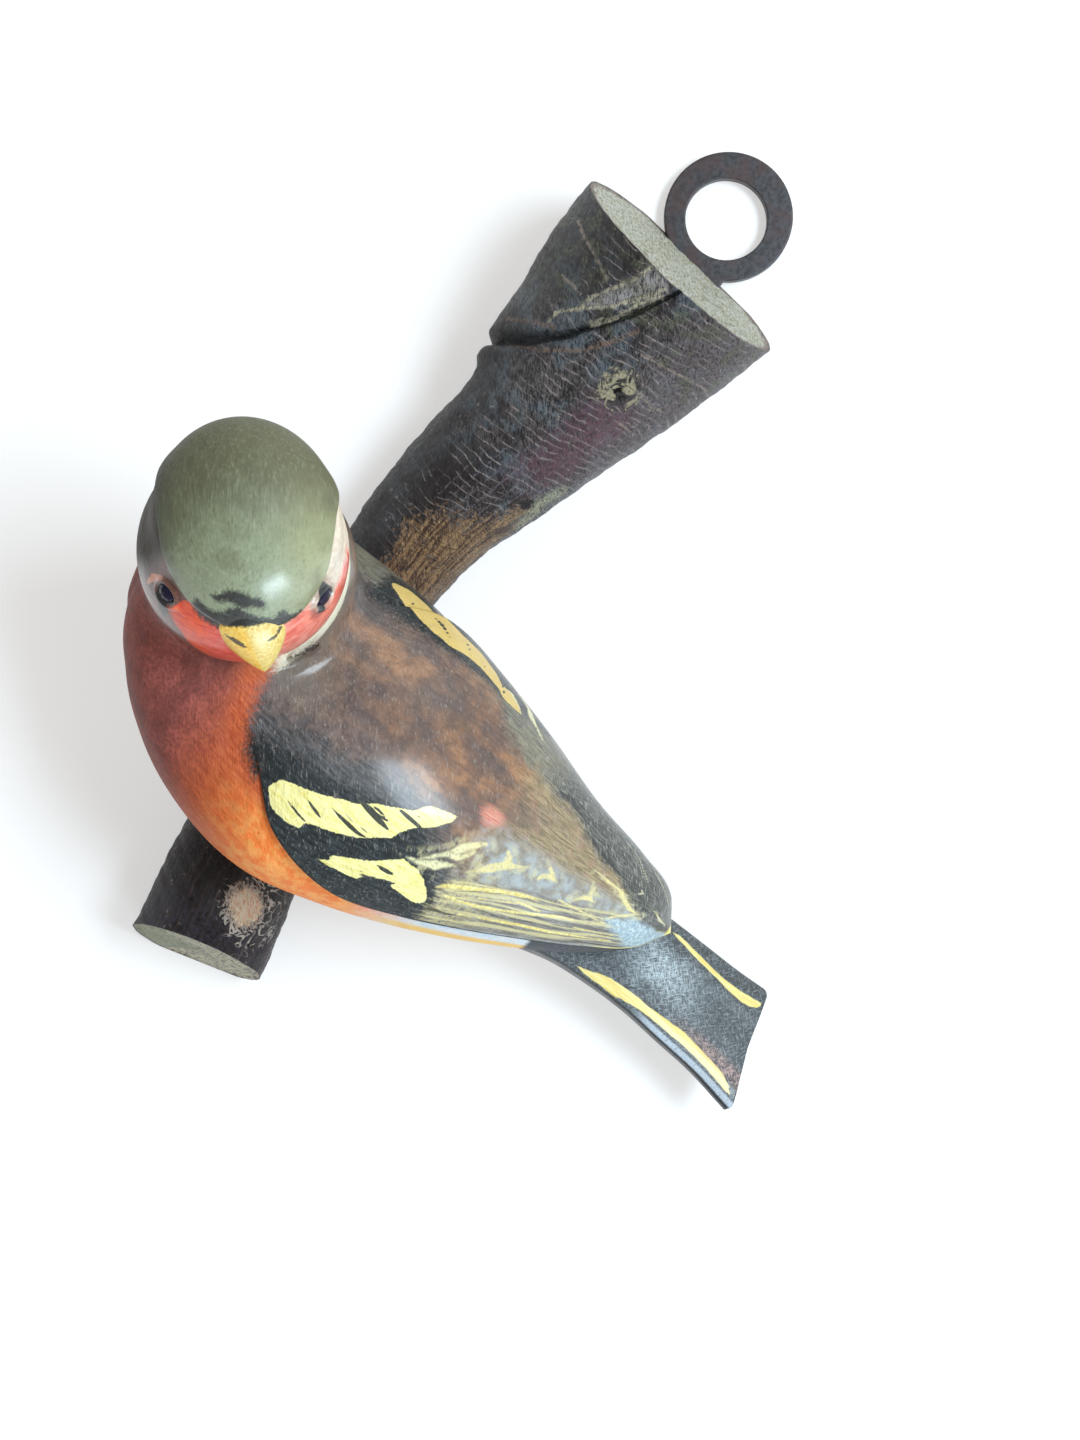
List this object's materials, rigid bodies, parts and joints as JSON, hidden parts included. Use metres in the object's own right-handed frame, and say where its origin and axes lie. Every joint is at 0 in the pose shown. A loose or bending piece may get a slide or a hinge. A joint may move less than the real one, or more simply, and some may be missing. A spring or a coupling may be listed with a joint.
{
  "type": "carved wooden bird",
  "caption": "Carved and painted wooden finch looking back over its shoulder, sitting across a natural bark branch that hangs on the wall from a flat steel ring.",
  "frame": {"origin": "on the branch's planed back, under the bird's seat, between the screws that hold the bird", "axes": "+Z off the wall, +Y up the branch towards the hanging ring, +X along the bird towards its tail"},
  "size_m": [0.1397, 0.1848, 0.0831],
  "materials": {
    "bark": "natural bark, thinly varnished, bare wood at the ends",
    "painted_body": "carved, painted in plumage colours and varnished",
    "painted_head": "carved, painted in plumage colours and varnished",
    "bare_wood": "bare",
    "black_glass": "polished",
    "dark_steel": "dull, darkened"
  },
  "bodies": {
    "root": {"branch_log": "bark", "bird_body": "painted_body", "bird_head": "painted_head", "neck_dowel": "bare_wood", "left_eye": "black_glass", "right_eye": "black_glass", "hanger_ring": "dark_steel", "perch_screw_1": "dark_steel", "perch_screw_2": "dark_steel", "hanger_screw_1": "dark_steel", "hanger_screw_2": "dark_steel"}
  },
  "joints": []
}
